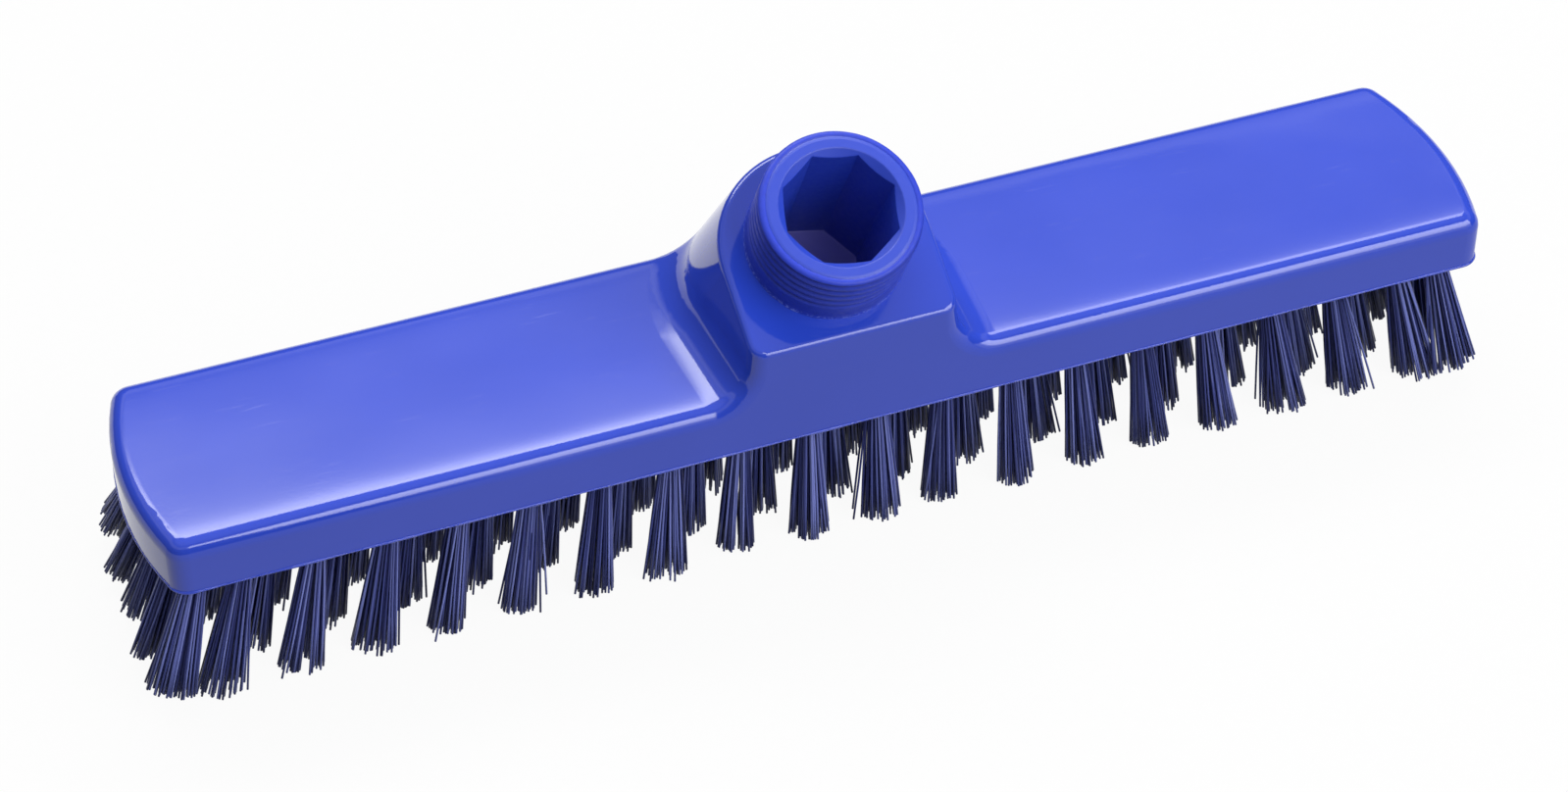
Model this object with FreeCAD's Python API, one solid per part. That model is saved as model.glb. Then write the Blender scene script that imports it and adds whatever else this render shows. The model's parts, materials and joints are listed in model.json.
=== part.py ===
"""Scrub brush head for a long handle: moulded block, staple-set bristle tufts and their anchors.

Frame: millimetres, +X along the block, +Y to the back, +Z up, origin on the floor under the block's
middle. The brush stands on its bristle tips at Z = 0.
"""
import FreeCAD, Part
import math
import os

from FreeCAD import Placement, Rotation, Vector

# Block
BLOCK_LENGTH = 300.0
BLOCK_WIDTH = 54.1
WING_HEIGHT = 12.5
END_BOW = 4.9
CORNER_RADIUS = 4.5
TOP_EDGE_RADIUS = 3.5
BOTTOM_CHAMFER = 0.3

# Handle socket: a tapered eight-sided hole in a round collar
SOCKET_SIDES = 8
SOCKET_FLATS = 23.2
SOCKET_END_FLATS = 21.4
SOCKET_TURN = -12.2
SOCKET_TILT = 30.0
SOCKET_FLOOR = 3.0
MOUTH_CHAMFER = 1.2
COLLAR_WALL = 3.7
COLLAR_HEIGHT = 18.2
COLLAR_EDGE = 0.6

# Boss under the collar, with a sloping face
FACE_FRONT_HEIGHT = 24.8
FRONT_SHOULDER = 4.75
SIDE_SHOULDER = 6.5
REAR_SHOULDER = 5.5
BOSS_DRAFT = 7.0
BOSS_FOOT_RADIUS = 9.0
FACE_EDGE_RADIUS = 1.5

# Tuft holes, drilled from below in staggered rows with a full column at each end
HOLE_DIAMETER = 5.3
HOLE_ROOF = 4.0
ROW_COUNT = 5
ROW_MARGIN = 9.0
COLUMN_COUNT = 18
END_MARGIN = 10.9
END_STEP = 9.6

# Bristle tufts, fanned out in degrees, cut level at the floor or, at the block's ends, square
TRIM_LENGTH = 32.0
TIP_DIAMETER = 9.2
TUFT_SIDES = 8
TUFT_CLEARANCE = 0.05
FLARE_START = 1.5
COLUMN_LEAN = 10.8
ROW_LEAN = 3.0
END_COLUMN_LEAN = 16.0
END_ROW_LEAN = 10.0

# Anchor strips that hold each folded tuft at the bottom of its hole
ANCHOR_THICKNESS = 0.5
ANCHOR_HEIGHT = 1.8
ANCHOR_CLEARANCE = 0.05
FOLD_HEIGHT = 1.3

# Sizes that follow from those above
HALF_LENGTH = BLOCK_LENGTH / 2
HALF_WIDTH = BLOCK_WIDTH / 2
UNDERSIDE = TRIM_LENGTH
WING_TOP = UNDERSIDE + WING_HEIGHT
TILT = math.radians(SOCKET_TILT)
FLAT_TO_CORNER = 1 / math.cos(math.pi / SOCKET_SIDES)
SOCKET_CORNER = SOCKET_FLATS / 2 * FLAT_TO_CORNER
SOCKET_END_CORNER = SOCKET_END_FLATS / 2 * FLAT_TO_CORNER
COLLAR_RADIUS = SOCKET_CORNER + COLLAR_WALL
BOSS_RADIUS = COLLAR_RADIUS + SIDE_SHOULDER
BOSS_OFFSET = REAR_SHOULDER - SIDE_SHOULDER
FACE_TO_AXIS = COLLAR_RADIUS + FRONT_SHOULDER
HOLE_RADIUS = HOLE_DIAMETER / 2
HOLE_DEPTH = WING_HEIGHT - HOLE_ROOF
TUFT_TURN = 180 / TUFT_SIDES
TUFT_RADIUS = HOLE_RADIUS - TUFT_CLEARANCE
ANCHOR_HALF_LENGTH = HOLE_RADIUS * math.cos(math.pi / TUFT_SIDES) - ANCHOR_CLEARANCE
ANCHOR_TOP = HOLE_DEPTH - FOLD_HEIGHT
ROW_SPACING = (BLOCK_WIDTH - 2 * ROW_MARGIN) / (ROW_COUNT - 1)
END_X = HALF_LENGTH - END_MARGIN
LAST_X = END_X - END_STEP
PITCH = 2 * LAST_X / (COLUMN_COUNT - 1)

# Socket frame: origin on the boss's sloping face, +Z out of the socket, +Y up the face
FACE_CENTRE = Vector(
    0,
    FACE_TO_AXIS * math.cos(TILT) - HALF_WIDTH,
    UNDERSIDE + FACE_FRONT_HEIGHT + FACE_TO_AXIS * math.sin(TILT))
SOCKET_FRAME = Placement(FACE_CENTRE, Rotation(Vector(1, 0, 0), SOCKET_TILT))
MOUTH_Z = FACE_CENTRE.z + COLLAR_HEIGHT * math.cos(TILT)
SOCKET_LOW_Z = UNDERSIDE + HOLE_DEPTH + SOCKET_FLOOR
SOCKET_DEPTH = (MOUTH_Z - SOCKET_END_CORNER * math.sin(TILT) - SOCKET_LOW_Z) / math.cos(TILT)

# Cutting shapes reach this far past the part, and edges are compared to this tolerance
REACH = BLOCK_LENGTH
TINY = 0.01


def polygon(sides, radius, turn, height):
    """Corners of a regular polygon across the local Z axis, counter-clockwise from above."""
    corners = []
    for index in range(sides):
        angle = math.radians(turn) + 2 * math.pi * index / sides
        corners.append(Vector(radius * math.cos(angle), radius * math.sin(angle), height))
    return corners


def flat_face(corners):
    """Flat face inside a closed run of corners."""
    return Part.Face(Part.makePolygon(corners + corners[:1]))


def stack(polygons):
    """Solid with flat sides through polygons of equally many corners, listed from the bottom up."""
    faces = [flat_face(polygons[0][::-1]), flat_face(polygons[-1])]
    for low, high in zip(polygons, polygons[1:]):
        for index in range(len(low)):
            faces.append(flat_face([low[index - 1], low[index], high[index], high[index - 1]]))
    shell = Part.makeShell(faces)
    shell.sewShape()
    return Part.makeSolid(shell)


def plan_prism(height):
    """The block's plan shape, bowed at both ends and round at the corners, raised from the underside."""
    shoulder = HALF_LENGTH - END_BOW
    front_left = Vector(-shoulder, -HALF_WIDTH, UNDERSIDE)
    front_right = Vector(shoulder, -HALF_WIDTH, UNDERSIDE)
    back_right = Vector(shoulder, HALF_WIDTH, UNDERSIDE)
    back_left = Vector(-shoulder, HALF_WIDTH, UNDERSIDE)
    right_end = Part.Arc(front_right, Vector(HALF_LENGTH, 0, UNDERSIDE), back_right)
    left_end = Part.Arc(back_left, Vector(-HALF_LENGTH, 0, UNDERSIDE), front_left)
    outline = Part.Wire([
        Part.makeLine(front_left, front_right),
        right_end.toShape(),
        Part.makeLine(back_right, back_left),
        left_end.toShape(),
    ])
    prism = Part.Face(outline).extrude(Vector(0, 0, height))
    corners = [edge for edge in prism.Edges if edge.BoundBox.ZLength > height / 2]
    return prism.makeFillet(CORNER_RADIUS, corners)


def boss_column():
    """Drafted column along the socket's axis: round at the back, straight sides running to the front."""
    spread = math.tan(math.radians(BOSS_DRAFT))
    low = -2 * BLOCK_WIDTH
    high = BLOCK_WIDTH
    wide = BOSS_RADIUS - low * spread
    narrow = BOSS_RADIUS - high * spread
    back = Part.makeCone(wide, narrow, high - low, Vector(0, BOSS_OFFSET, low))
    section = flat_face([
        Vector(-wide, BOSS_OFFSET, low),
        Vector(wide, BOSS_OFFSET, low),
        Vector(narrow, BOSS_OFFSET, high),
        Vector(-narrow, BOSS_OFFSET, high),
    ])
    sides = section.extrude(Vector(0, -BLOCK_WIDTH - 2 * BOSS_FOOT_RADIUS, 0))
    column = back.fuse(sides).removeSplitter()
    column.Placement = SOCKET_FRAME
    return column


def above_face():
    """Everything on the outer side of the boss's sloping face."""
    space = Part.makeBox(REACH, REACH, REACH, Vector(-REACH / 2, -REACH / 2, 0))
    space.Placement = SOCKET_FRAME
    return space


def is_level_at(edge, height):
    """True for an edge that lies flat at one height."""
    box = edge.BoundBox
    return abs(box.ZMin - height) < TINY and abs(box.ZMax - height) < TINY


def is_foot_edge(edge):
    """True where the boss's column meets the top of the wings."""
    box = edge.BoundBox
    return is_level_at(edge, WING_TOP) and max(-box.XMin, box.XMax) < HALF_LENGTH


def is_on_wall(edge, wall):
    """True if the middle of an edge lies on the block's outer wall."""
    middle = edge.valueAt((edge.FirstParameter + edge.LastParameter) / 2)
    return wall.distToShape(Part.Vertex(middle))[0] < TINY


def is_on_face(edge):
    """True for an edge of the boss's sloping face."""
    middle = edge.valueAt((edge.FirstParameter + edge.LastParameter) / 2)
    return abs(SOCKET_FRAME.inverse().multVec(middle).z) < TINY


def is_rim_edge(edge):
    """True for an upper edge of the wall, but not for the front edge of the sloping face."""
    return edge.BoundBox.ZMin > UNDERSIDE + TINY and not is_level_at(edge, UNDERSIDE + FACE_FRONT_HEIGHT)


def block_body():
    """Wings and boss as one moulding, with rounded edges, before the collar and the holes."""
    sheet = Part.makeBox(2 * REACH, 2 * REACH, WING_HEIGHT, Vector(-REACH, -REACH, UNDERSIDE))
    joined = sheet.fuse(boss_column()).removeSplitter()
    joined = joined.makeFillet(BOSS_FOOT_RADIUS, [edge for edge in joined.Edges if is_foot_edge(edge)])
    joined = joined.cut(above_face())
    prism = plan_prism(REACH)
    body = joined.common(prism).removeSplitter()
    wall = Part.makeShell([face for face in prism.Faces if face.BoundBox.ZLength > REACH / 2])
    wall_edges = [edge for edge in body.Edges if is_on_wall(edge, wall)]
    body = body.makeFillet(TOP_EDGE_RADIUS, [edge for edge in wall_edges if is_rim_edge(edge)])
    body = body.makeFillet(FACE_EDGE_RADIUS, [edge for edge in body.Edges if is_on_face(edge)])
    floor_edges = [edge for edge in body.Edges if is_level_at(edge, UNDERSIDE)]
    return body.makeChamfer(BOTTOM_CHAMFER, floor_edges)


def collar():
    """Round collar that stands on the sloping face, sunk a little into it so that the two join."""
    sunk = COLLAR_WALL
    tube = Part.makeCylinder(COLLAR_RADIUS, COLLAR_HEIGHT + sunk, Vector(0, 0, -sunk))
    outer_rim = [edge for edge in tube.Edges if is_level_at(edge, COLLAR_HEIGHT)]
    tube = tube.makeChamfer(COLLAR_EDGE, outer_rim)
    tube.Placement = SOCKET_FRAME
    return tube


def socket():
    """Eight-sided tapered hole with a conical lead-in at the mouth."""
    taper = (SOCKET_CORNER - SOCKET_END_CORNER) / SOCKET_DEPTH
    above = COLLAR_WALL
    turn = SOCKET_TURN + 180 / SOCKET_SIDES
    mouth = polygon(SOCKET_SIDES, SOCKET_CORNER + above * taper, turn, COLLAR_HEIGHT + above)
    end = polygon(SOCKET_SIDES, SOCKET_END_CORNER, turn, COLLAR_HEIGHT - SOCKET_DEPTH)
    hole = stack([end, mouth])
    lead_in = Part.makeCone(
        SOCKET_CORNER - MOUTH_CHAMFER, SOCKET_CORNER + MOUTH_CHAMFER, 2 * MOUTH_CHAMFER,
        Vector(0, 0, COLLAR_HEIGHT - 1.5 * MOUTH_CHAMFER))
    hole = hole.fuse(lead_in)
    hole.Placement = SOCKET_FRAME
    return hole


def tuft_frame(x, row, column_lean, row_lean):
    """Local frame of one tuft hole: origin at its mouth, +Z up along the leaning hole."""
    into_hole = Vector(-math.tan(math.radians(column_lean)), -math.tan(math.radians(row_lean * row)), 1)
    return Placement(Vector(x, row * ROW_SPACING, UNDERSIDE), Rotation(Vector(0, 0, 1), into_hole))


def tuft_columns():
    """Frames of the tuft holes, grouped in columns from the left end to the right end."""
    middle_row = (ROW_COUNT - 1) // 2
    rows = range(-middle_row, middle_row + 1)
    columns = [[tuft_frame(-END_X, row, -END_COLUMN_LEAN, END_ROW_LEAN) for row in rows]]
    for index in range(COLUMN_COUNT):
        column = []
        for row in rows:
            staggered = (row + middle_row) % 2 == 1
            x = -LAST_X + PITCH * (index + 0.5 * staggered)
            if x < LAST_X + TINY:
                column.append(tuft_frame(x, row, COLUMN_LEAN * x / LAST_X, ROW_LEAN))
        columns.append(column)
    columns.append([tuft_frame(END_X, row, END_COLUMN_LEAN, END_ROW_LEAN) for row in rows])
    return columns


def tuft_hole(frame):
    """Blind hole, drawn with flats and started outside the underside."""
    mouth = polygon(TUFT_SIDES, HOLE_RADIUS, TUFT_TURN, -HOLE_DIAMETER)
    hole = flat_face(mouth).extrude(Vector(0, 0, HOLE_DIAMETER + HOLE_DEPTH))
    hole.Placement = frame
    return hole


def anchor_box(clearance):
    """Strip across the hole, or the window for it when a clearance is given."""
    half_length = ANCHOR_HALF_LENGTH + 2 * clearance
    return Part.makeBox(
        2 * half_length, ANCHOR_THICKNESS + 2 * clearance, ANCHOR_HEIGHT + 2 * clearance,
        Vector(-half_length, -ANCHOR_THICKNESS / 2 - clearance, ANCHOR_TOP - ANCHOR_HEIGHT - clearance))


def anchor(frame):
    """Flat metal strip that the tuft is folded over."""
    strip = anchor_box(0)
    strip.Placement = frame
    return strip


def tuft(frame, floor, square):
    """Bundle of bristles: straight in its hole, flared below it, cut square or level at the floor."""
    upright = frame.Rotation.multVec(Vector(0, 0, 1)).z
    reach = TRIM_LENGTH if square else TRIM_LENGTH / upright
    beyond = 0 if square else TIP_DIAMETER
    flare = (TIP_DIAMETER / 2 - TUFT_RADIUS) / (reach - FLARE_START)
    bundle = stack([
        polygon(TUFT_SIDES, TIP_DIAMETER / 2 + flare * beyond, TUFT_TURN, -reach - beyond),
        polygon(TUFT_SIDES, TUFT_RADIUS, TUFT_TURN, -FLARE_START),
        polygon(TUFT_SIDES, TUFT_RADIUS, TUFT_TURN, HOLE_DEPTH - TUFT_CLEARANCE),
    ])
    bundle = bundle.cut(anchor_box(ANCHOR_CLEARANCE))
    bundle.Placement = frame
    return bundle.cut(floor)


def build():
    """All pieces by node name."""
    columns = tuft_columns()
    holes = [tuft_hole(frame) for column in columns for frame in column]
    block = block_body().fuse(collar()).removeSplitter().cut([socket()] + holes)
    floor = Part.makeBox(2 * REACH, 2 * REACH, REACH, Vector(-REACH, -REACH, -REACH))
    pieces = {"brush_block": block.Solids[0]}
    for number, column in enumerate(columns, 1):
        at_end = number in (1, len(columns))
        tufts = [tuft(frame, floor, at_end) for frame in column]
        anchors = [anchor(frame) for frame in column]
        pieces[f"bristle_column_{number:02d}"] = Part.makeCompound(tufts)
        pieces[f"anchor_column_{number:02d}"] = Part.makeCompound(anchors)
    return pieces


def main():
    """Write one STEP file for each node."""
    os.makedirs("parts", exist_ok=True)
    for name, shape in build().items():
        shape.exportStep(f"parts/{name}.step")


if __name__ == "__main__":
    main()
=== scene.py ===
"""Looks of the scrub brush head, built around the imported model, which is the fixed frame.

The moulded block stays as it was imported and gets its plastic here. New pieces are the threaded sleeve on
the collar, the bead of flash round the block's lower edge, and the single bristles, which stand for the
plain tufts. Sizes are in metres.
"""
import json
import math
import random

import bpy
from mathutils import Matrix, Vector, noise

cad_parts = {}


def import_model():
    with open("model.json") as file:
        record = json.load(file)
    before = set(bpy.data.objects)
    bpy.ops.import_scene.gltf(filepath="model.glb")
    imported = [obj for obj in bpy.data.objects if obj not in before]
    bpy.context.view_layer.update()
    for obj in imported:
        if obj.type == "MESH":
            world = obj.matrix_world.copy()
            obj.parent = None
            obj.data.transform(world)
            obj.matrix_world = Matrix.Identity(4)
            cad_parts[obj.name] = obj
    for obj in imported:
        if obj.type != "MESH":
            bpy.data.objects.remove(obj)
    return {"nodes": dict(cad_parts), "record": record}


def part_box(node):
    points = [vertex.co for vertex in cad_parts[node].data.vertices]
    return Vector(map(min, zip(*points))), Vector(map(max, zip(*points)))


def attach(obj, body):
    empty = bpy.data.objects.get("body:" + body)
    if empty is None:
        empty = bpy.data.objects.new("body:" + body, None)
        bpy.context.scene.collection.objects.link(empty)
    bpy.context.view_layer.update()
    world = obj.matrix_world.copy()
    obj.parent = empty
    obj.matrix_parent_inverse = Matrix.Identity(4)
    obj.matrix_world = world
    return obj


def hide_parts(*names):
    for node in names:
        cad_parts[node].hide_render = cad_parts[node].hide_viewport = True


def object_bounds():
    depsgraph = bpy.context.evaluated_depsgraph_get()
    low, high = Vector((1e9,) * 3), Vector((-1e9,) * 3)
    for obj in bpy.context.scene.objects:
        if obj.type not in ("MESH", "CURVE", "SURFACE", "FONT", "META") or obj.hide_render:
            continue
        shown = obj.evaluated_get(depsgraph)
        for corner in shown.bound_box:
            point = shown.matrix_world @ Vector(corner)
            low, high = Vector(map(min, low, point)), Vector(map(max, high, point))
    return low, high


MM = 0.001
UP = Vector((0.0, 0.0, 1.0))

# Camera, as the photograph was taken: turn and pitch round the brush, roll, distance and lens
VIEW_TURN = 20.03
VIEW_PITCH = 41.61
VIEW_ROLL = -0.65
VIEW_DISTANCE = 840.37 * MM
VIEW_TARGET = Vector((-6.07, 0.83, 18.4)) * MM
SENSOR_WIDTH = 36.0
IMAGE_WIDTH = 1599
FOCAL_PIXELS = 3966.17

# Threaded sleeve: crest over the collar's core, groove, plain lip at the mouth, and its mesh
CREST_RISE = 0.9 * MM
GROOVE_DEPTH = 0.85 * MM
GROOVE_SHARPNESS = 2.6
THREAD_PITCH = 2.62 * MM
THREAD_TURNS = 5.0
THREAD_START = 4.6 * MM
THREAD_FADE = 0.3
LIP_ROUND = 1.0 * MM
LIP_EDGE = 0.6 * MM
SLEEVE_STEPS = 180
SLEEVE_ROW = 0.15 * MM
SLEEVE_SINK = 0.3 * MM
SLEEVE_SKIN = 1.0 * MM

# Line of flash at the sleeve's foot, the band of its pale crumbs, and the grain of the sleeve's skin
FLASH_RISE = 0.16 * MM
FLASH_SWING = 0.14 * MM
FLASH_TOP = (0.1 * MM, 0.7 * MM)
FLASH_LUMPS = 9.0
FLASH_BAND = (0.42 * MM, 1.4 * MM)
SKIN_ROUGH = 0.03 * MM
SKIN_LUMPS = (14.0, 1.3 / MM)
NOISE_LEVEL = 0.3

# Moulded block: rounds on its sharp edges, and how far its top falls toward the front and the back
WING_HEIGHT = 12.5 * MM
EDGE_ROUND = 0.5 * MM
EDGE_SAMPLES = 8
CROWN_DROP = 0.5 * MM
CROWN_POWER = 12.0
CROWN_END = (1.0 * MM, 3.0 * MM)

# Collar's rim and socket, as distances from their axis and heights over the collar's foot
RIM_CHAMFER = (15.0 * MM, 16.3 * MM)
RIM_DROP = 0.3 * MM
SATIN_REACH = (13.5 * MM, 14.0 * MM)
SATIN_FOOT = (0.02 * MM, 0.2 * MM)
PALE_END_REACH = (13.0 * MM, 13.5 * MM)
PALE_END_DEPTH = 0.4 * MM
PALE_END_SHARE = 0.8

# Thin bead of flash along the block's lower edge
BEAD_HEIGHT = 0.35 * MM
BEAD_RADIUS = (0.12 * MM, 0.4 * MM)
BEAD_LUMP = 9.0 * MM
BEAD_STEP = 1.0 * MM
BEAD_SIDES = 8
OUTLINE_BAND = 0.1 * MM
OUTLINE_DIGITS = 5

# Bristles: filaments of a tuft, how they fan out to their tips, and how they clump and stray
FILAMENTS = 95
FILAMENT_RADIUS = 0.25 * MM
FILAMENT_SIDES = 5
FILAMENT_STATIONS = (-0.09, 0.1, 0.4, 0.7, 1.0)
TUFT_FILL = 0.74
TUFT_TOP_CORNERS = 8
CORNER_DIGITS = 3
TIP_SPREAD = (2.3, 2.7)
TIP_FLATNESS = 0.84
END_SPREAD = 0.5
TURN_JITTER = 0.2
TIP_JITTER = 0.15 * MM
TIP_DRIFT = 0.5 * MM
CLUMPS = 5
CLUMP_PLACE = (0.3, 0.9)
CLUMP_PULL = 0.22
BOW = 0.12 * MM
TRIM_RAGGED = 0.7 * MM
CLUMP_RAGGED = 0.6 * MM
STRAY_SHARE = 0.06
STRAY_REACH = (1.5 * MM, 3.2 * MM)
GOLDEN_ANGLE = math.pi * (3 - math.sqrt(5))
SEED = 7000

# Bend of the tips: of the inner columns, its outward share of their place along the brush, and of the ends
TIP_SWEEP = Vector((-1.3, -1.0, 0.0)) * MM
TIP_FAN = 0.011
END_SWEEP = {1: Vector((-1.5, 6.0, 0.0)) * MM, 20: Vector((-4.0, 3.0, 0.0)) * MM}

# Colours, in pairs where soft noise moves between two, and the part of its range that such noise fills
BLOCK_BLUES = ((0.014, 0.041, 0.39), (0.017, 0.045, 0.415))
SPECK_BLUE = (0.16, 0.22, 0.75, 1.0)
# Paler blue on the socket's flat end
PALE_END_BLUE = (0.14, 0.13, 0.5, 1.0)
CREST_BLUE = (0.015, 0.037, 0.42)
# Dark blue painted into the thread's grooves as shade
GROOVE_SHADE_BLUE = (0.004, 0.009, 0.13)
CRUMB_BLUE = (0.12, 0.17, 0.62, 1.0)
NAVY_DARK = (0.012, 0.015, 0.07)
NAVY = (0.046, 0.058, 0.21)
NAVY_LIGHT = (0.17, 0.2, 0.5)
WIRE_GREYS = ((0.42, 0.42, 0.43), (0.6, 0.6, 0.61))
PAPER_GREYS = ((0.48, 0.48, 0.48), (0.52, 0.52, 0.52))
BOUNCE_GREY = (0.1, 0.1, 0.1, 1.0)
NOISE_RANGE = (0.3, 0.7)

# Roughness of each surface, from its smoother to its duller places, and reflection of the dull plastics
GLOSS_ROUGHNESS = (0.05, 0.085)
SATIN_ROUGHNESS = (0.36, 0.46)
THREAD_ROUGHNESS = (0.42, 0.55)
BRISTLE_ROUGHNESS = (0.28, 0.42)
WIRE_ROUGHNESS = (0.25, 0.45)
PAPER_ROUGHNESS = 0.9
THREAD_SPECULAR = 0.3
DULL_SPECULAR = 0.1

# Hairline scratches: their turn, stretch, share of the noise and dullness
SCRATCH_TURN = math.radians(24)
SCRATCH_STRETCH = (0.06, 1.0, 1.0)
SCRATCH_NOISE = (0.70, 0.76)
SCRATCH_DULLNESS = 0.12

# Fine relief in the plastics, and the crumbs at the thread's foot
FLOW_RELIEF = 0.35 * MM
GRAIN_RELIEF = 0.004 * MM
SPECK_RELIEF = 0.05 * MM
THREAD_RELIEF = 0.02 * MM
THREAD_MOTTLE = 0.12
CRUMB_NOISE = (0.52, 0.6)
WIRE_STRETCH = (0.05, 1.0, 1.0)

# Panel behind the brush, with shares of its full glow up its height and across it
BACK_PANEL = {"turn": 14.0, "height": 50.0, "distance": 1.5, "size": (1.5, 0.92), "radiance": 9.0}
BACK_FADE = ((0.2, 0.015), (0.246, 0.028), (0.274, 0.044), (0.326, 0.117), (0.35, 0.17),
             (0.39, 0.34), (0.446, 0.66), (0.54, 1.0))
BACK_SIDE = ((0.25, 0.7), (0.42, 1.0))

# Panel in front of the brush, dim in its lower part
FRONT_PANEL = {"turn": 150.0, "height": 25.5, "distance": 1.6, "size": (1.4, 1.33), "radiance": 7.0}
FRONT_FADE = ((0.3, 0.2), (0.5, 1.0))

# Glow of the studio walls, from the floor up to the ceiling
WALL_GLOW = ((0.0, 0.15), (0.5, 0.25), (0.545, 0.75), (0.602, 1.35), (0.606, 0.66), (0.637, 1.0),
             (0.72, 1.0), (0.8, 0.45), (0.9, 0.9))

# Floor: half its width, and the share of plain white that the camera and gloss see in it
FLOOR_HALF = 4.0
FLOOR_WHITE = 0.94

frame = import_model()
cad_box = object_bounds()
mounts = {mount["name"]: mount for mount in frame["record"]["mounts"]}


def add(tree, kind, sockets=None, **settings):
    """New shader node. Sockets hold plain values, or outputs of other nodes to link."""
    made = tree.nodes.new(kind)
    for name, value in settings.items():
        setattr(made, name, value)
    for name, value in (sockets or {}).items():
        if isinstance(value, bpy.types.NodeSocket):
            tree.links.new(value, made.inputs[name])
        else:
            made.inputs[name].default_value = value
    return made


def feed(shader, outputs):
    """Links outputs of nodes to a shader's sockets by name."""
    for name, output in outputs.items():
        shader.id_data.links.new(output, shader.inputs[name])


def ramp(tree, factor, stops):
    """Colour ramp through (position, colour) stops."""
    made = add(tree, "ShaderNodeValToRGB", {"Fac": factor})
    elements = made.color_ramp.elements
    while len(elements) < len(stops):
        elements.new(1.0)
    for element, (position, colour) in zip(elements, stops):
        element.position = position
        element.color = (*colour, 1.0)
    return made.outputs["Color"]


def grey_ramp(tree, factor, stops):
    """Ramp of greys through (position, brightness) stops."""
    return ramp(tree, factor, [(position, (grey, grey, grey)) for position, grey in stops])


def mix(tree, share, first, second):
    """Colour that goes from the first to the second by a share."""
    made = add(tree, "ShaderNodeMix", {0: share, 6: first, 7: second}, data_type="RGBA")
    return made.outputs[2]


def span(tree, value, low, high, to_low, to_high):
    """Value mapped from one range to another, with its ends held."""
    made = add(tree, "ShaderNodeMapRange", {
        "Value": value, "From Min": low, "From Max": high, "To Min": to_low, "To Max": to_high})
    return made.outputs["Result"]


def maths(tree, operation, first, second=0.0):
    """Result of one sum on two values."""
    return add(tree, "ShaderNodeMath", {0: first, 1: second}, operation=operation).outputs["Value"]


def vector_maths(tree, operation, sockets, output="Vector"):
    """Result of one sum on vectors."""
    return add(tree, "ShaderNodeVectorMath", sockets, operation=operation).outputs[output]


def clouds(tree, place, scale, detail=2.0):
    """Soft noise with so many lumps to the metre."""
    made = add(tree, "ShaderNodeTexNoise", {"Vector": place, "Scale": scale, "Detail": detail})
    return made.outputs["Fac"]


def uneven(tree, noise_value, low, high):
    """Value that soft noise moves between two values."""
    return span(tree, noise_value, *NOISE_RANGE, low, high)


def mottle(tree, noise_value, colours):
    """Colour that soft noise moves between two colours."""
    return ramp(tree, noise_value, list(zip(NOISE_RANGE, colours)))


def bump(tree, height, distance, below=None):
    """Relief of a real height, laid over an earlier one if there is one."""
    sockets = {"Height": height, "Distance": distance, "Strength": 1.0}
    if below is not None:
        sockets["Normal"] = below
    return add(tree, "ShaderNodeBump", sockets).outputs["Normal"]


def new_material(name):
    """Empty material with a principled shader, its tree and its place input."""
    material = bpy.data.materials.new(name)
    material.use_nodes = True
    tree = material.node_tree
    shader = tree.nodes["Principled BSDF"]
    place = add(tree, "ShaderNodeTexCoord").outputs["Object"]
    return material, tree, shader, place


def specks(tree, place, scale, size, share):
    """Few small round dots: one for a share of the cells of a scattered pattern."""
    cells = add(tree, "ShaderNodeTexVoronoi", {"Vector": place, "Scale": scale, "Randomness": 1.0})
    chosen = maths(tree, "GREATER_THAN", cells.outputs["Color"], 1 - share)
    near = span(tree, cells.outputs["Distance"], size, 0.5 * size, 0.0, 1.0)
    return maths(tree, "MULTIPLY", chosen, near)


def collar_line():
    """Foot of the collar's axis, its direction, and its length from there to the socket's mouth."""
    collar = mounts["handle_collar"]
    axis = Vector(collar["axis"])
    foot = Vector(collar["pos_m"]) - axis * collar["dims"]["length_mm"] * MM / 2
    return foot, axis, (Vector(mounts["handle_socket"]["pos_m"]) - foot).length


def collar_place(tree, place):
    """Height over the collar's foot and distance from its axis."""
    foot, axis, _ = collar_line()
    offset = vector_maths(tree, "SUBTRACT", {0: place, 1: foot})
    height = vector_maths(tree, "DOT_PRODUCT", {0: offset, 1: axis}, "Value")
    along = vector_maths(tree, "SCALE", {0: axis, "Scale": height})
    across = vector_maths(tree, "SUBTRACT", {0: offset, 1: along})
    radius = vector_maths(tree, "LENGTH", {0: across}, "Value")
    return height, radius


def satin_mask(tree, height, radius):
    """One on the collar and in its socket, none on the glossy block."""
    inside = span(tree, radius, *SATIN_REACH, 1.0, 0.0)
    above = span(tree, height, *SATIN_FOOT, 0.0, 1.0)
    return maths(tree, "MAXIMUM", inside, above)


def socket_end_paling(tree, height, radius):
    """Share of paler blue: some on the flat end of the socket, none elsewhere."""
    end = collar_line()[2] - mounts["handle_socket"]["dims"]["length_mm"] * MM
    level = add(tree, "ShaderNodeMath", {0: height, 1: end, 2: PALE_END_DEPTH}, operation="COMPARE")
    return maths(tree, "MULTIPLY", level.outputs["Value"], span(tree, radius, *PALE_END_REACH, PALE_END_SHARE, 0.0))


def crowned(tree, place, below):
    """Surface of the wings, whose moulded top falls a little toward the front and the back."""
    low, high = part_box("brush_block")
    axes = add(tree, "ShaderNodeSeparateXYZ", {0: place}).outputs
    share = maths(tree, "DIVIDE", maths(tree, "ABSOLUTE", axes["Y"]), high.y)
    fall = maths(tree, "MULTIPLY", maths(tree, "POWER", share, CROWN_POWER), -1.0)
    fallen = bump(tree, fall, CROWN_DROP, below)
    ends = [low.z + WING_HEIGHT + end for end in CROWN_END]
    on_wing = span(tree, axes["Z"], *ends, 1.0, 0.0)
    return add(tree, "ShaderNodeMix", {0: on_wing, 4: below, 5: fallen}, data_type="VECTOR").outputs[1]


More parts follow.
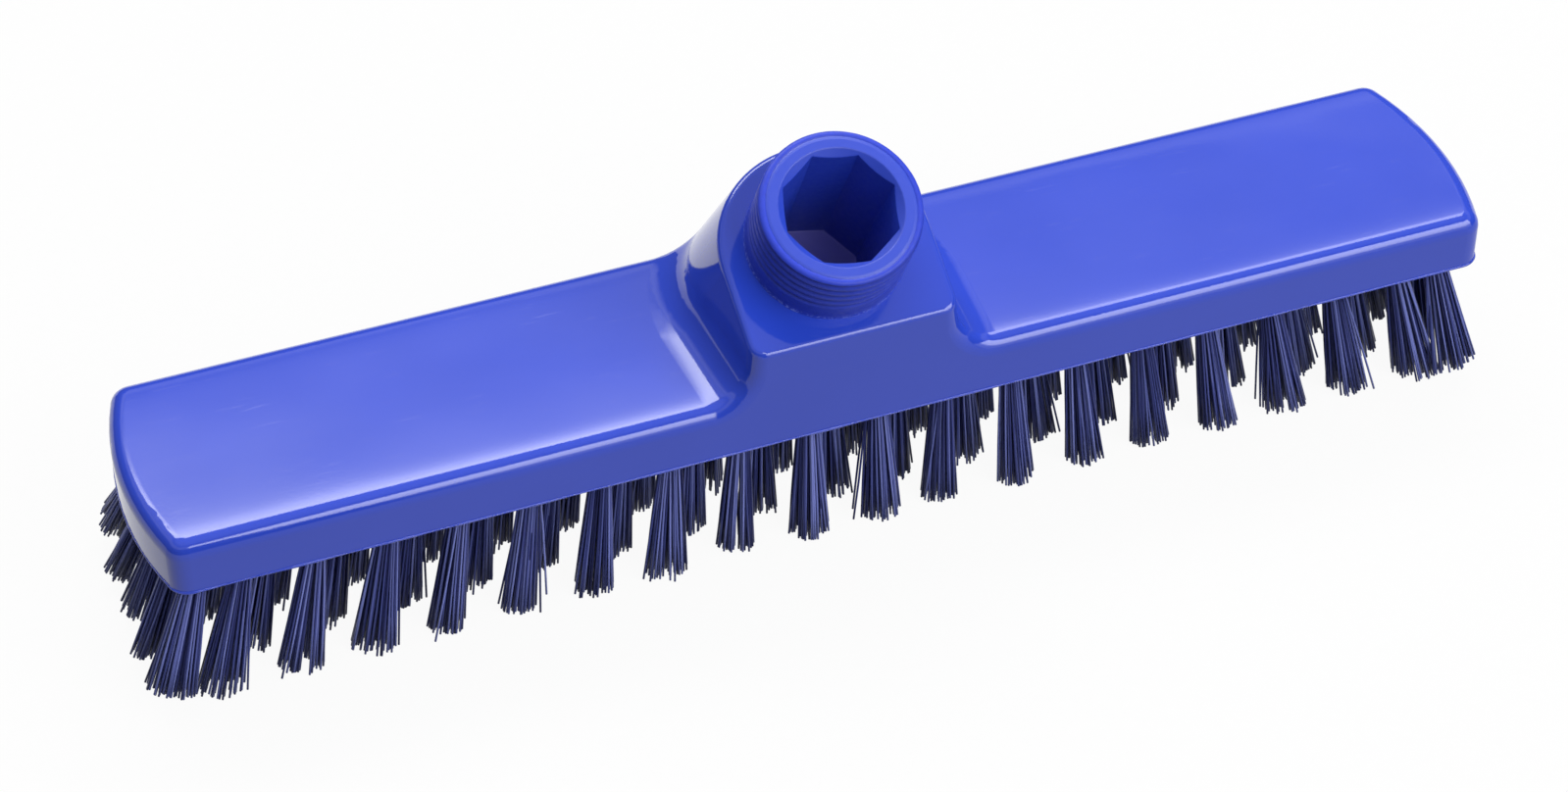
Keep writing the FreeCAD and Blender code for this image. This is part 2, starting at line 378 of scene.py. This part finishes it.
def block_colour(tree, place, dots, height, radius):
    """Blue with faint flow marks, pale specks, and a paler blue on the socket's flat end."""
    flow = mottle(tree, clouds(tree, place, scale=28.0, detail=3.0), BLOCK_BLUES)
    speckled = mix(tree, dots, flow, SPECK_BLUE)
    # Paler blue on the socket's flat end
    return mix(tree, socket_end_paling(tree, height, radius), speckled, PALE_END_BLUE)


def block_roughness(tree, place, satin):
    """Smooth with hairline scratches, and satin on the collar."""
    stretched = add(tree, "ShaderNodeMapping", {
        "Vector": place, "Rotation": (0.0, 0.0, SCRATCH_TURN), "Scale": SCRATCH_STRETCH})
    lines = clouds(tree, stretched.outputs["Vector"], scale=1900.0, detail=1.0)
    hairs = span(tree, lines, *SCRATCH_NOISE, 0.0, SCRATCH_DULLNESS)
    gloss = uneven(tree, clouds(tree, place, scale=60.0, detail=4.0), *GLOSS_ROUGHNESS)
    scratched = maths(tree, "ADD", gloss, hairs)
    dull = uneven(tree, clouds(tree, place, scale=900.0, detail=3.0), *SATIN_ROUGHNESS)
    return add(tree, "ShaderNodeMix", {0: satin, 2: scratched, 3: dull}, data_type="FLOAT").outputs[0]


def block_relief(tree, place, dots, satin, radius):
    """Rounded edges, crowned wings, the rim's lead-in, and the moulding's faint waves and grain."""
    edges = add(tree, "ShaderNodeBevel", {"Radius": EDGE_ROUND}, samples=EDGE_SAMPLES).outputs["Normal"]
    crown = crowned(tree, place, edges)
    lead_in = maths(tree, "MULTIPLY", satin, span(tree, radius, *RIM_CHAMFER, 0.0, -1.0))
    rim = bump(tree, lead_in, RIM_DROP, crown)
    flow = bump(tree, clouds(tree, place, scale=22.0, detail=1.0), FLOW_RELIEF, rim)
    grain = bump(tree, clouds(tree, place, scale=1500.0), GRAIN_RELIEF, flow)
    return bump(tree, dots, SPECK_RELIEF, grain)


def block_plastic():
    """Glossy blue plastic, satin on the collar, with dust specks and hairline scratches."""
    material, tree, shader, place = new_material("block_plastic")
    height, radius = collar_place(tree, place)
    satin = satin_mask(tree, height, radius)
    dots = specks(tree, place, scale=260.0, size=0.07, share=0.02)
    feed(shader, {
        "Base Color": block_colour(tree, place, dots, height, radius),
        "Roughness": block_roughness(tree, place, satin),
        "Normal": block_relief(tree, place, dots, satin, radius)})
    return material


def collar_plastic():
    """Satin blue plastic of the thread, with painted shade darkening its grooves, and pale crumbs of flash
    at its foot.
    """
    material, tree, shader, place = new_material("collar_plastic")
    # Painted shade: the deeper the groove at a point, the darker its blue
    groove_shade = add(tree, "ShaderNodeAttribute", attribute_name="groove").outputs["Fac"]
    foot = add(tree, "ShaderNodeAttribute", attribute_name="foot").outputs["Fac"]
    patches = uneven(tree, clouds(tree, place, scale=700.0, detail=3.0), -THREAD_MOTTLE, THREAD_MOTTLE)
    colour = ramp(tree, maths(tree, "ADD", groove_shade, patches), [(0.0, CREST_BLUE), (1.0, GROOVE_SHADE_BLUE)])
    crumbs = span(tree, clouds(tree, place, scale=2200.0, detail=3.0), *CRUMB_NOISE, 0.0, 1.0)
    feed(shader, {
        "Base Color": mix(tree, maths(tree, "MULTIPLY", crumbs, foot), colour, CRUMB_BLUE),
        "Roughness": uneven(tree, clouds(tree, place, scale=900.0, detail=3.0), *THREAD_ROUGHNESS),
        "Normal": bump(tree, clouds(tree, place, scale=1800.0, detail=3.0), THREAD_RELIEF)})
    shader.inputs["Specular IOR Level"].default_value = THREAD_SPECULAR
    return material


def bristle_nylon():
    """Navy filament plastic, each filament a little different and duller in places."""
    material, tree, shader, place = new_material("bristle_nylon")
    tone = add(tree, "ShaderNodeAttribute", attribute_name="tone").outputs["Fac"]
    feed(shader, {
        "Base Color": ramp(tree, tone, [(0.0, NAVY_DARK), (0.5, NAVY), (1.0, NAVY_LIGHT)]),
        "Roughness": uneven(tree, clouds(tree, place, scale=300.0), *BRISTLE_ROUGHNESS)})
    shader.inputs["Specular IOR Level"].default_value = DULL_SPECULAR
    return material


def anchor_wire():
    """Flattened wire, brushed along its length."""
    material, tree, shader, place = new_material("anchor_wire")
    brushed = add(tree, "ShaderNodeMapping", {"Vector": place, "Scale": WIRE_STRETCH})
    lines = clouds(tree, brushed.outputs["Vector"], scale=6000.0, detail=3.0)
    feed(shader, {
        "Base Color": mottle(tree, lines, WIRE_GREYS),
        "Roughness": uneven(tree, lines, *WIRE_ROUGHNESS)})
    shader.inputs["Metallic"].default_value = 1.0
    return material


def new_piece(name, vertices, faces, material):
    """Smooth mesh piece that moves with the brush."""
    mesh = bpy.data.meshes.new(name)
    mesh.from_pydata(vertices, [], faces)
    mesh.shade_smooth()
    mesh.materials.append(material)
    piece = bpy.data.objects.new(name, mesh)
    bpy.context.scene.collection.objects.link(piece)
    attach(piece, "root")
    return piece


def paint(piece, name, values):
    """Gives a piece one value for each corner point, for its material to read."""
    piece.data.attributes.new(name, "FLOAT", "POINT").data.foreach_set("value", values)


def on_circle(centre, side, up, angle, radius):
    """Point on a circle round a centre."""
    return centre + (side * math.cos(angle) + up * math.sin(angle)) * radius


def skin(rows, sides, closed):
    """Faces between rings of corner points. In a closed skin the last ring meets the first."""
    faces = []
    for row in range(rows if closed else rows - 1):
        low, high = row * sides, (row + 1) % rows * sides
        for step in range(sides):
            beside = (step + 1) % sides
            faces.append([low + step, low + beside, high + beside, high + step])
    return faces


def smooth_step(value, low, high):
    """Soft switch from 0 to 1 between two values."""
    share = min(max((value - low) / (high - low), 0.0), 1.0)
    return share * share * (3 - 2 * share)


def groove(turn, height):
    """Depth of the helical groove at a share of a turn round the collar and a height on it."""
    rise = (height - THREAD_START) / THREAD_PITCH - turn
    along = round(rise) + turn
    beside = 2 * abs(rise - round(rise))
    ends = smooth_step(along, 0.0, THREAD_FADE) * smooth_step(THREAD_TURNS - along, 0.0, THREAD_FADE)
    return GROOVE_DEPTH * ends * (1 - beside) ** GROOVE_SHARPNESS


def sleeve_radius(turn, height, core, length):
    """Outside of the sleeve: rounded thread, a plain lip at the mouth and a line of flash at the foot."""
    crest = core + CREST_RISE
    edge = core - LIP_EDGE
    lip = max(0.0, height - (length - LIP_ROUND)) / LIP_ROUND
    rounded = edge + (crest - edge) * math.sqrt(max(0.0, 1 - lip ** 2))
    x, y = math.cos(2 * math.pi * turn), math.sin(2 * math.pi * turn)
    ragged = noise.noise(Vector((x, y, NOISE_LEVEL)) * FLASH_LUMPS)
    flash = (FLASH_RISE + FLASH_SWING * ragged) * (1 - smooth_step(height, *FLASH_TOP))
    rough = SKIN_ROUGH * noise.noise(Vector((x * SKIN_LUMPS[0], y * SKIN_LUMPS[0], height * SKIN_LUMPS[1])))
    return rounded - groove(turn, height) + flash + rough


def sleeve_rings(core, length):
    """Rings of (radius, height) points: up the sleeve's outside, then down inside the collar's wall."""
    rows = math.ceil(length / SLEEVE_ROW)
    heights = [-SLEEVE_SINK] + [length * row / rows for row in range(rows + 1)]
    rings = [[(sleeve_radius(step / SLEEVE_STEPS, max(height, 0.0), core, length), height)
              for step in range(SLEEVE_STEPS)] for height in heights]
    for height in (length - SLEEVE_SKIN, -SLEEVE_SINK):
        rings.append([(core - SLEEVE_SKIN, height)] * SLEEVE_STEPS)
    return rings


def thread_sleeve(material):
    """Threaded outside of the collar: a closed skin over the plain core."""
    foot, axis, length = collar_line()
    side = Vector((1.0, 0.0, 0.0))
    up = axis.cross(side)
    rings = sleeve_rings(mounts["handle_collar"]["dims"]["r_mm"] * MM, length)
    vertices, groove_shades, lows = [], [], []
    for ring in rings:
        for step, (radius, height) in enumerate(ring):
            angle = 2 * math.pi * step / SLEEVE_STEPS
            vertices.append(on_circle(foot + axis * height, side, up, angle, radius))
            groove_shades.append(groove(step / SLEEVE_STEPS, height) / GROOVE_DEPTH)
            lows.append(1 - smooth_step(height, *FLASH_BAND))
    piece = new_piece("thread_sleeve", vertices, skin(len(rings), SLEEVE_STEPS, True), material)
    # Groove depth at each point, which the material uses to paint shade into the grooves
    paint(piece, "groove", groove_shades)
    paint(piece, "foot", lows)


def block_outline(level):
    """Block's outline at a height a little over its underside, in steps of even length."""
    wall = [vertex.co for vertex in frame["nodes"]["brush_block"].data.vertices
            if abs(vertex.co.z - level) < OUTLINE_BAND]
    spots = {(round(spot.x, OUTLINE_DIGITS), round(spot.y, OUTLINE_DIGITS)) for spot in wall}
    around = sorted(spots, key=lambda spot: math.atan2(spot[1], spot[0]))
    corners = [Vector((x, y, level)) for x, y in around]
    points = []
    for start, end in zip(corners, corners[1:] + corners[:1]):
        steps = max(1, round((end - start).length / BEAD_STEP))
        points += [start.lerp(end, step / steps) for step in range(steps)]
    return points


def flash_bead(underside, material):
    """Uneven bead of flash where the two halves of the mould met, round the block's lower edge."""
    points = block_outline(underside + BEAD_HEIGHT)
    vertices = []
    for index, point in enumerate(points):
        along = points[(index + 1) % len(points)] - points[index - 1]
        out = along.cross(UP).normalized()
        swell = 0.5 + 0.5 * noise.noise(point / BEAD_LUMP)
        radius = BEAD_RADIUS[0] + (BEAD_RADIUS[1] - BEAD_RADIUS[0]) * swell
        for step in range(BEAD_SIDES):
            vertices.append(on_circle(point, out, UP, 2 * math.pi * step / BEAD_SIDES, radius))
    piece = new_piece("flash_bead", vertices, skin(len(points), BEAD_SIDES, True), material)


def solids_of(mesh):
    """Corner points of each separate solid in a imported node, whose faces don't share corners."""
    spots = [tuple(round(value / MM, CORNER_DIGITS) for value in vertex.co) for vertex in mesh.vertices]
    leader = {spot: spot for spot in spots}

    def lead(spot):
        while leader[spot] != spot:
            spot = leader[spot]
        return spot

    for polygon in mesh.polygons:
        first = lead(spots[polygon.vertices[0]])
        for index in polygon.vertices:
            leader[lead(spots[index])] = first
    groups = {}
    for spot in sorted(leader):
        groups.setdefault(lead(spot), []).append(Vector(spot) * MM)
    return list(groups.values())


def middle(points):
    """Mean of some points."""
    return sum(points, Vector()) / len(points)


def tuft_line(points, underside):
    """Where a tuft leaves the block, the middle and the turn of its cut end, and the hole's radius."""
    ring = [point for point in points if point.z < underside / 2]
    tip = middle(ring)
    facing = (ring[0] - tip).cross(ring[1] - tip).normalized()
    turn = UP.rotation_difference(facing if facing.z > 0 else -facing)
    rough = (middle(points) - tip).normalized()
    ends = sorted(points, key=lambda point: point.dot(rough))[-TUFT_TOP_CORNERS:]
    top = middle(ends)
    radius = max((point - top).length for point in ends)
    mouth = tip + (top - tip) * (underside - tip.z) / (top.z - tip.z)
    return mouth, tip, turn, radius


def aside(angle, reach):
    """Level step of some length in a direction."""
    return Vector((math.cos(angle), math.sin(angle), 0.0)) * reach


def scatter(chance, size):
    """Small level step in a chance direction."""
    return Vector((chance.gauss(0, size), chance.gauss(0, size), 0.0))


def clump(chance, reach):
    """Where one clump of tips lies across its tuft, and how much shorter its filaments are."""
    centre = aside(chance.uniform(0, 2 * math.pi), reach * chance.uniform(*CLUMP_PLACE))
    return centre, chance.random() * CLUMP_RAGGED


def filament_plan(chance, index, radius, spread, clumps):
    """Where one filament starts and ends across its tuft, and how much shorter than the tuft it is."""
    angle = index * GOLDEN_ANGLE + chance.uniform(-TURN_JITTER, TURN_JITTER)
    start = aside(angle, radius * math.sqrt((index + 0.5) / FILAMENTS))
    finish = Vector((start.x * spread, start.y * spread * TIP_FLATNESS, 0.0))
    centre, shorter = min(clumps, key=lambda place: (place[0] - finish).length)
    finish = finish.lerp(centre, CLUMP_PULL) + scatter(chance, TIP_JITTER)
    if chance.random() < STRAY_SHARE:
        stray = aside(chance.uniform(0, 2 * math.pi), chance.uniform(*STRAY_REACH))
        finish += Vector((stray.x, stray.y * TIP_FLATNESS, 0.0))
    return start, finish, shorter + chance.random() ** 2 * TRIM_RAGGED


def filament_path(chance, line, turn, plan, sweep):
    """Stations along one filament, from inside its hole to its cut end, seen from the hole's mouth."""
    start, finish, shorter = plan
    bow = scatter(chance, BOW)
    cut = 1 - shorter / line.length
    points = []
    for station in FILAMENT_STATIONS:
        share = station * cut if station > 0 else station
        free = max(share, 0.0)
        across = start.lerp(finish, free) + bow * 4 * free * (1 - free)
        points.append(line * share + turn @ across + sweep * free)
    return points


def tube(points, radius, vertices, faces):
    """Adds one thin tube round a run of points, with flat ends."""
    line = (points[-1] - points[0]).normalized()
    side = line.cross(Vector((0.0, 1.0, 0.0))).normalized()
    up = line.cross(side)
    base = len(vertices)
    for point in points:
        for step in range(FILAMENT_SIDES):
            vertices.append(on_circle(point, side, up, 2 * math.pi * step / FILAMENT_SIDES, radius))
    wall = skin(len(points), FILAMENT_SIDES, False)
    last = (len(points) - 1) * FILAMENT_SIDES
    ends = [list(reversed(range(FILAMENT_SIDES))), list(range(last, last + FILAMENT_SIDES))]
    faces += [[base + corner for corner in face] for face in wall + ends]


def tip_sweep(number, mouth, width):
    """How far the free end of a tuft is bent aside, more so toward the front row."""
    sweep = END_SWEEP.get(number, TIP_SWEEP + Vector((mouth.x * TIP_FAN, 0.0, 0.0)))
    return Matrix.Diagonal((1.0, 0.5 - mouth.y / width, 0.0)) @ sweep


def bristles(number, node, underside, material):
    """All filaments of one column of tufts, in place of its plain solids."""
    chance = random.Random(SEED + number)
    vertices, faces, tones = [], [], []
    width = 2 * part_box("brush_block")[1].y
    for points in solids_of(node.data):
        mouth, tip, turn, radius = tuft_line(points, underside)
        line = tip + UP * FILAMENT_RADIUS + scatter(chance, TIP_DRIFT) - mouth
        sweep = tip_sweep(number, mouth, width)
        inner = radius * TUFT_FILL
        spread = chance.uniform(*TIP_SPREAD) + END_SPREAD * (mouth.x / cad_box[1].x) ** 2
        clumps = [clump(chance, inner * spread) for _ in range(CLUMPS)]
        for index in range(FILAMENTS):
            plan = filament_plan(chance, index, inner, spread, clumps)
            path = [mouth + point for point in filament_path(chance, line, turn, plan, sweep)]
            tube(path, FILAMENT_RADIUS, vertices, faces)
            tones += [chance.random()] * (len(FILAMENT_STATIONS) * FILAMENT_SIDES)
    piece = new_piece(f"bristles_{number:02d}", vertices, faces, material)
    paint(piece, "tone", tones)
    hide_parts(node.name)


def dress(node, material):
    """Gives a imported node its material."""
    node.data.materials.clear()
    node.data.materials.append(material)


def camera():
    """Camera at the photograph's place."""
    turn, pitch, roll = (math.radians(angle) for angle in (VIEW_TURN, VIEW_PITCH, VIEW_ROLL))
    back = Vector((-math.sin(turn) * math.cos(pitch), -math.cos(turn) * math.cos(pitch), math.sin(pitch)))
    right = Vector((math.cos(turn), -math.sin(turn), 0.0))
    up = back.cross(right)
    rolled_right = right * math.cos(roll) + up * math.sin(roll)
    rolled_up = up * math.cos(roll) - right * math.sin(roll)
    data = bpy.data.cameras.new("camera")
    data.sensor_width = SENSOR_WIDTH
    data.lens = FOCAL_PIXELS / IMAGE_WIDTH * SENSOR_WIDTH
    made = bpy.data.objects.new("camera", data)
    made.matrix_world = Matrix.Translation(VIEW_TARGET + back * VIEW_DISTANCE) @ Matrix(
        (rolled_right, rolled_up, back)).transposed().to_4x4()
    bpy.context.scene.collection.objects.link(made)
    bpy.context.scene.camera = made


def lamp(name, turn, height, distance, size, radiance, fade, side=None):
    """Soft panel that faces the brush from a compass turn and a height in degrees, glowing so brightly.

    Its light fades up the panel's height, and can fade across it too.
    """
    around, above = math.radians(turn), math.radians(height)
    way = Vector((math.sin(around) * math.cos(above), math.cos(around) * math.cos(above), math.sin(above)))
    data = bpy.data.lights.new(name, "AREA")
    data.shape = "RECTANGLE"
    data.size, data.size_y = size
    data.energy = radiance * math.pi * size[0] * size[1]
    data.use_nodes = True
    tree = data.node_tree
    place = add(tree, "ShaderNodeNewGeometry").outputs["Parametric"]
    axes = add(tree, "ShaderNodeSeparateXYZ", {0: place}).outputs
    glow = tree.nodes["Emission"]
    feed(glow, {"Color": grey_ramp(tree, axes["Y"], fade)})
    if side:
        feed(glow, {"Strength": grey_ramp(tree, axes["X"], side)})
    made = bpy.data.objects.new(name, data)
    made.location = way * distance
    made.rotation_euler = way.to_track_quat("Z", "Y").to_euler()
    bpy.context.scene.collection.objects.link(made)


def world():
    """Studio walls that glow unevenly from the floor up."""
    made = bpy.data.worlds.new("studio")
    made.use_nodes = True
    tree = made.node_tree
    way = add(tree, "ShaderNodeTexCoord").outputs["Generated"]
    height = add(tree, "ShaderNodeSeparateXYZ", {0: way}).outputs["Z"]
    feed(tree.nodes["Background"], {"Color": grey_ramp(tree, height, WALL_GLOW)})
    bpy.context.scene.world = made


def floor_white():
    """White paper that keeps a faint shadow and shows white to the camera and to gloss."""
    material, tree, shader, place = new_material("floor_white")
    shader.inputs["Roughness"].default_value = PAPER_ROUGHNESS
    shader.inputs["Specular IOR Level"].default_value = DULL_SPECULAR
    rays = add(tree, "ShaderNodeLightPath").outputs
    mirrored = maths(tree, "MAXIMUM", rays["Is Glossy Ray"], rays["Is Transmission Ray"])
    seen = maths(tree, "MAXIMUM", rays["Is Camera Ray"], mirrored)
    paper = mottle(tree, clouds(tree, place, scale=400.0, detail=3.0), PAPER_GREYS)
    feed(shader, {"Base Color": mix(tree, seen, BOUNCE_GREY, paper)})
    white = add(tree, "ShaderNodeEmission", {"Color": (1.0, 1.0, 1.0, 1.0), "Strength": 1.0})
    share = maths(tree, "MULTIPLY", seen, FLOOR_WHITE)
    both = add(tree, "ShaderNodeMixShader", {
        0: share, 1: shader.outputs["BSDF"], 2: white.outputs["Emission"]})
    feed(tree.nodes["Material Output"], {"Surface": both.outputs["Shader"]})
    return material


def floor(level):
    """Wide floor under the bristle tips."""
    mesh = bpy.data.meshes.new("floor")
    corners = [(x * FLOOR_HALF, y * FLOOR_HALF, level) for x, y in ((-1, -1), (1, -1), (1, 1), (-1, 1))]
    mesh.from_pydata(corners, [], [(0, 1, 2, 3)])
    mesh.materials.append(floor_white())
    made = bpy.data.objects.new("floor", mesh)
    bpy.context.scene.collection.objects.link(made)


def studio(level):
    """Camera, floor, walls and soft panels."""
    bpy.context.scene.view_settings.view_transform = "Standard"
    camera()
    world()
    floor(level)
    lamp("panel_back", fade=BACK_FADE, side=BACK_SIDE, **BACK_PANEL)
    lamp("panel_front", fade=FRONT_FADE, **FRONT_PANEL)


def main():
    """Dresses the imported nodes, adds the sleeve, the bead and the bristles, and lights the studio."""
    plastic = block_plastic()
    nylon = bristle_nylon()
    wire = anchor_wire()
    nodes = frame["nodes"]
    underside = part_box("brush_block")[0].z
    dress(nodes["brush_block"], plastic)
    thread_sleeve(collar_plastic())
    flash_bead(underside, plastic)
    for name in sorted(nodes):
        if name.startswith("anchor_column"):
            dress(nodes[name], wire)
        if name.startswith("bristle_column"):
            bristles(int(name[-2:]), nodes[name], underside, nylon)
    studio(cad_box[0].z)


main()
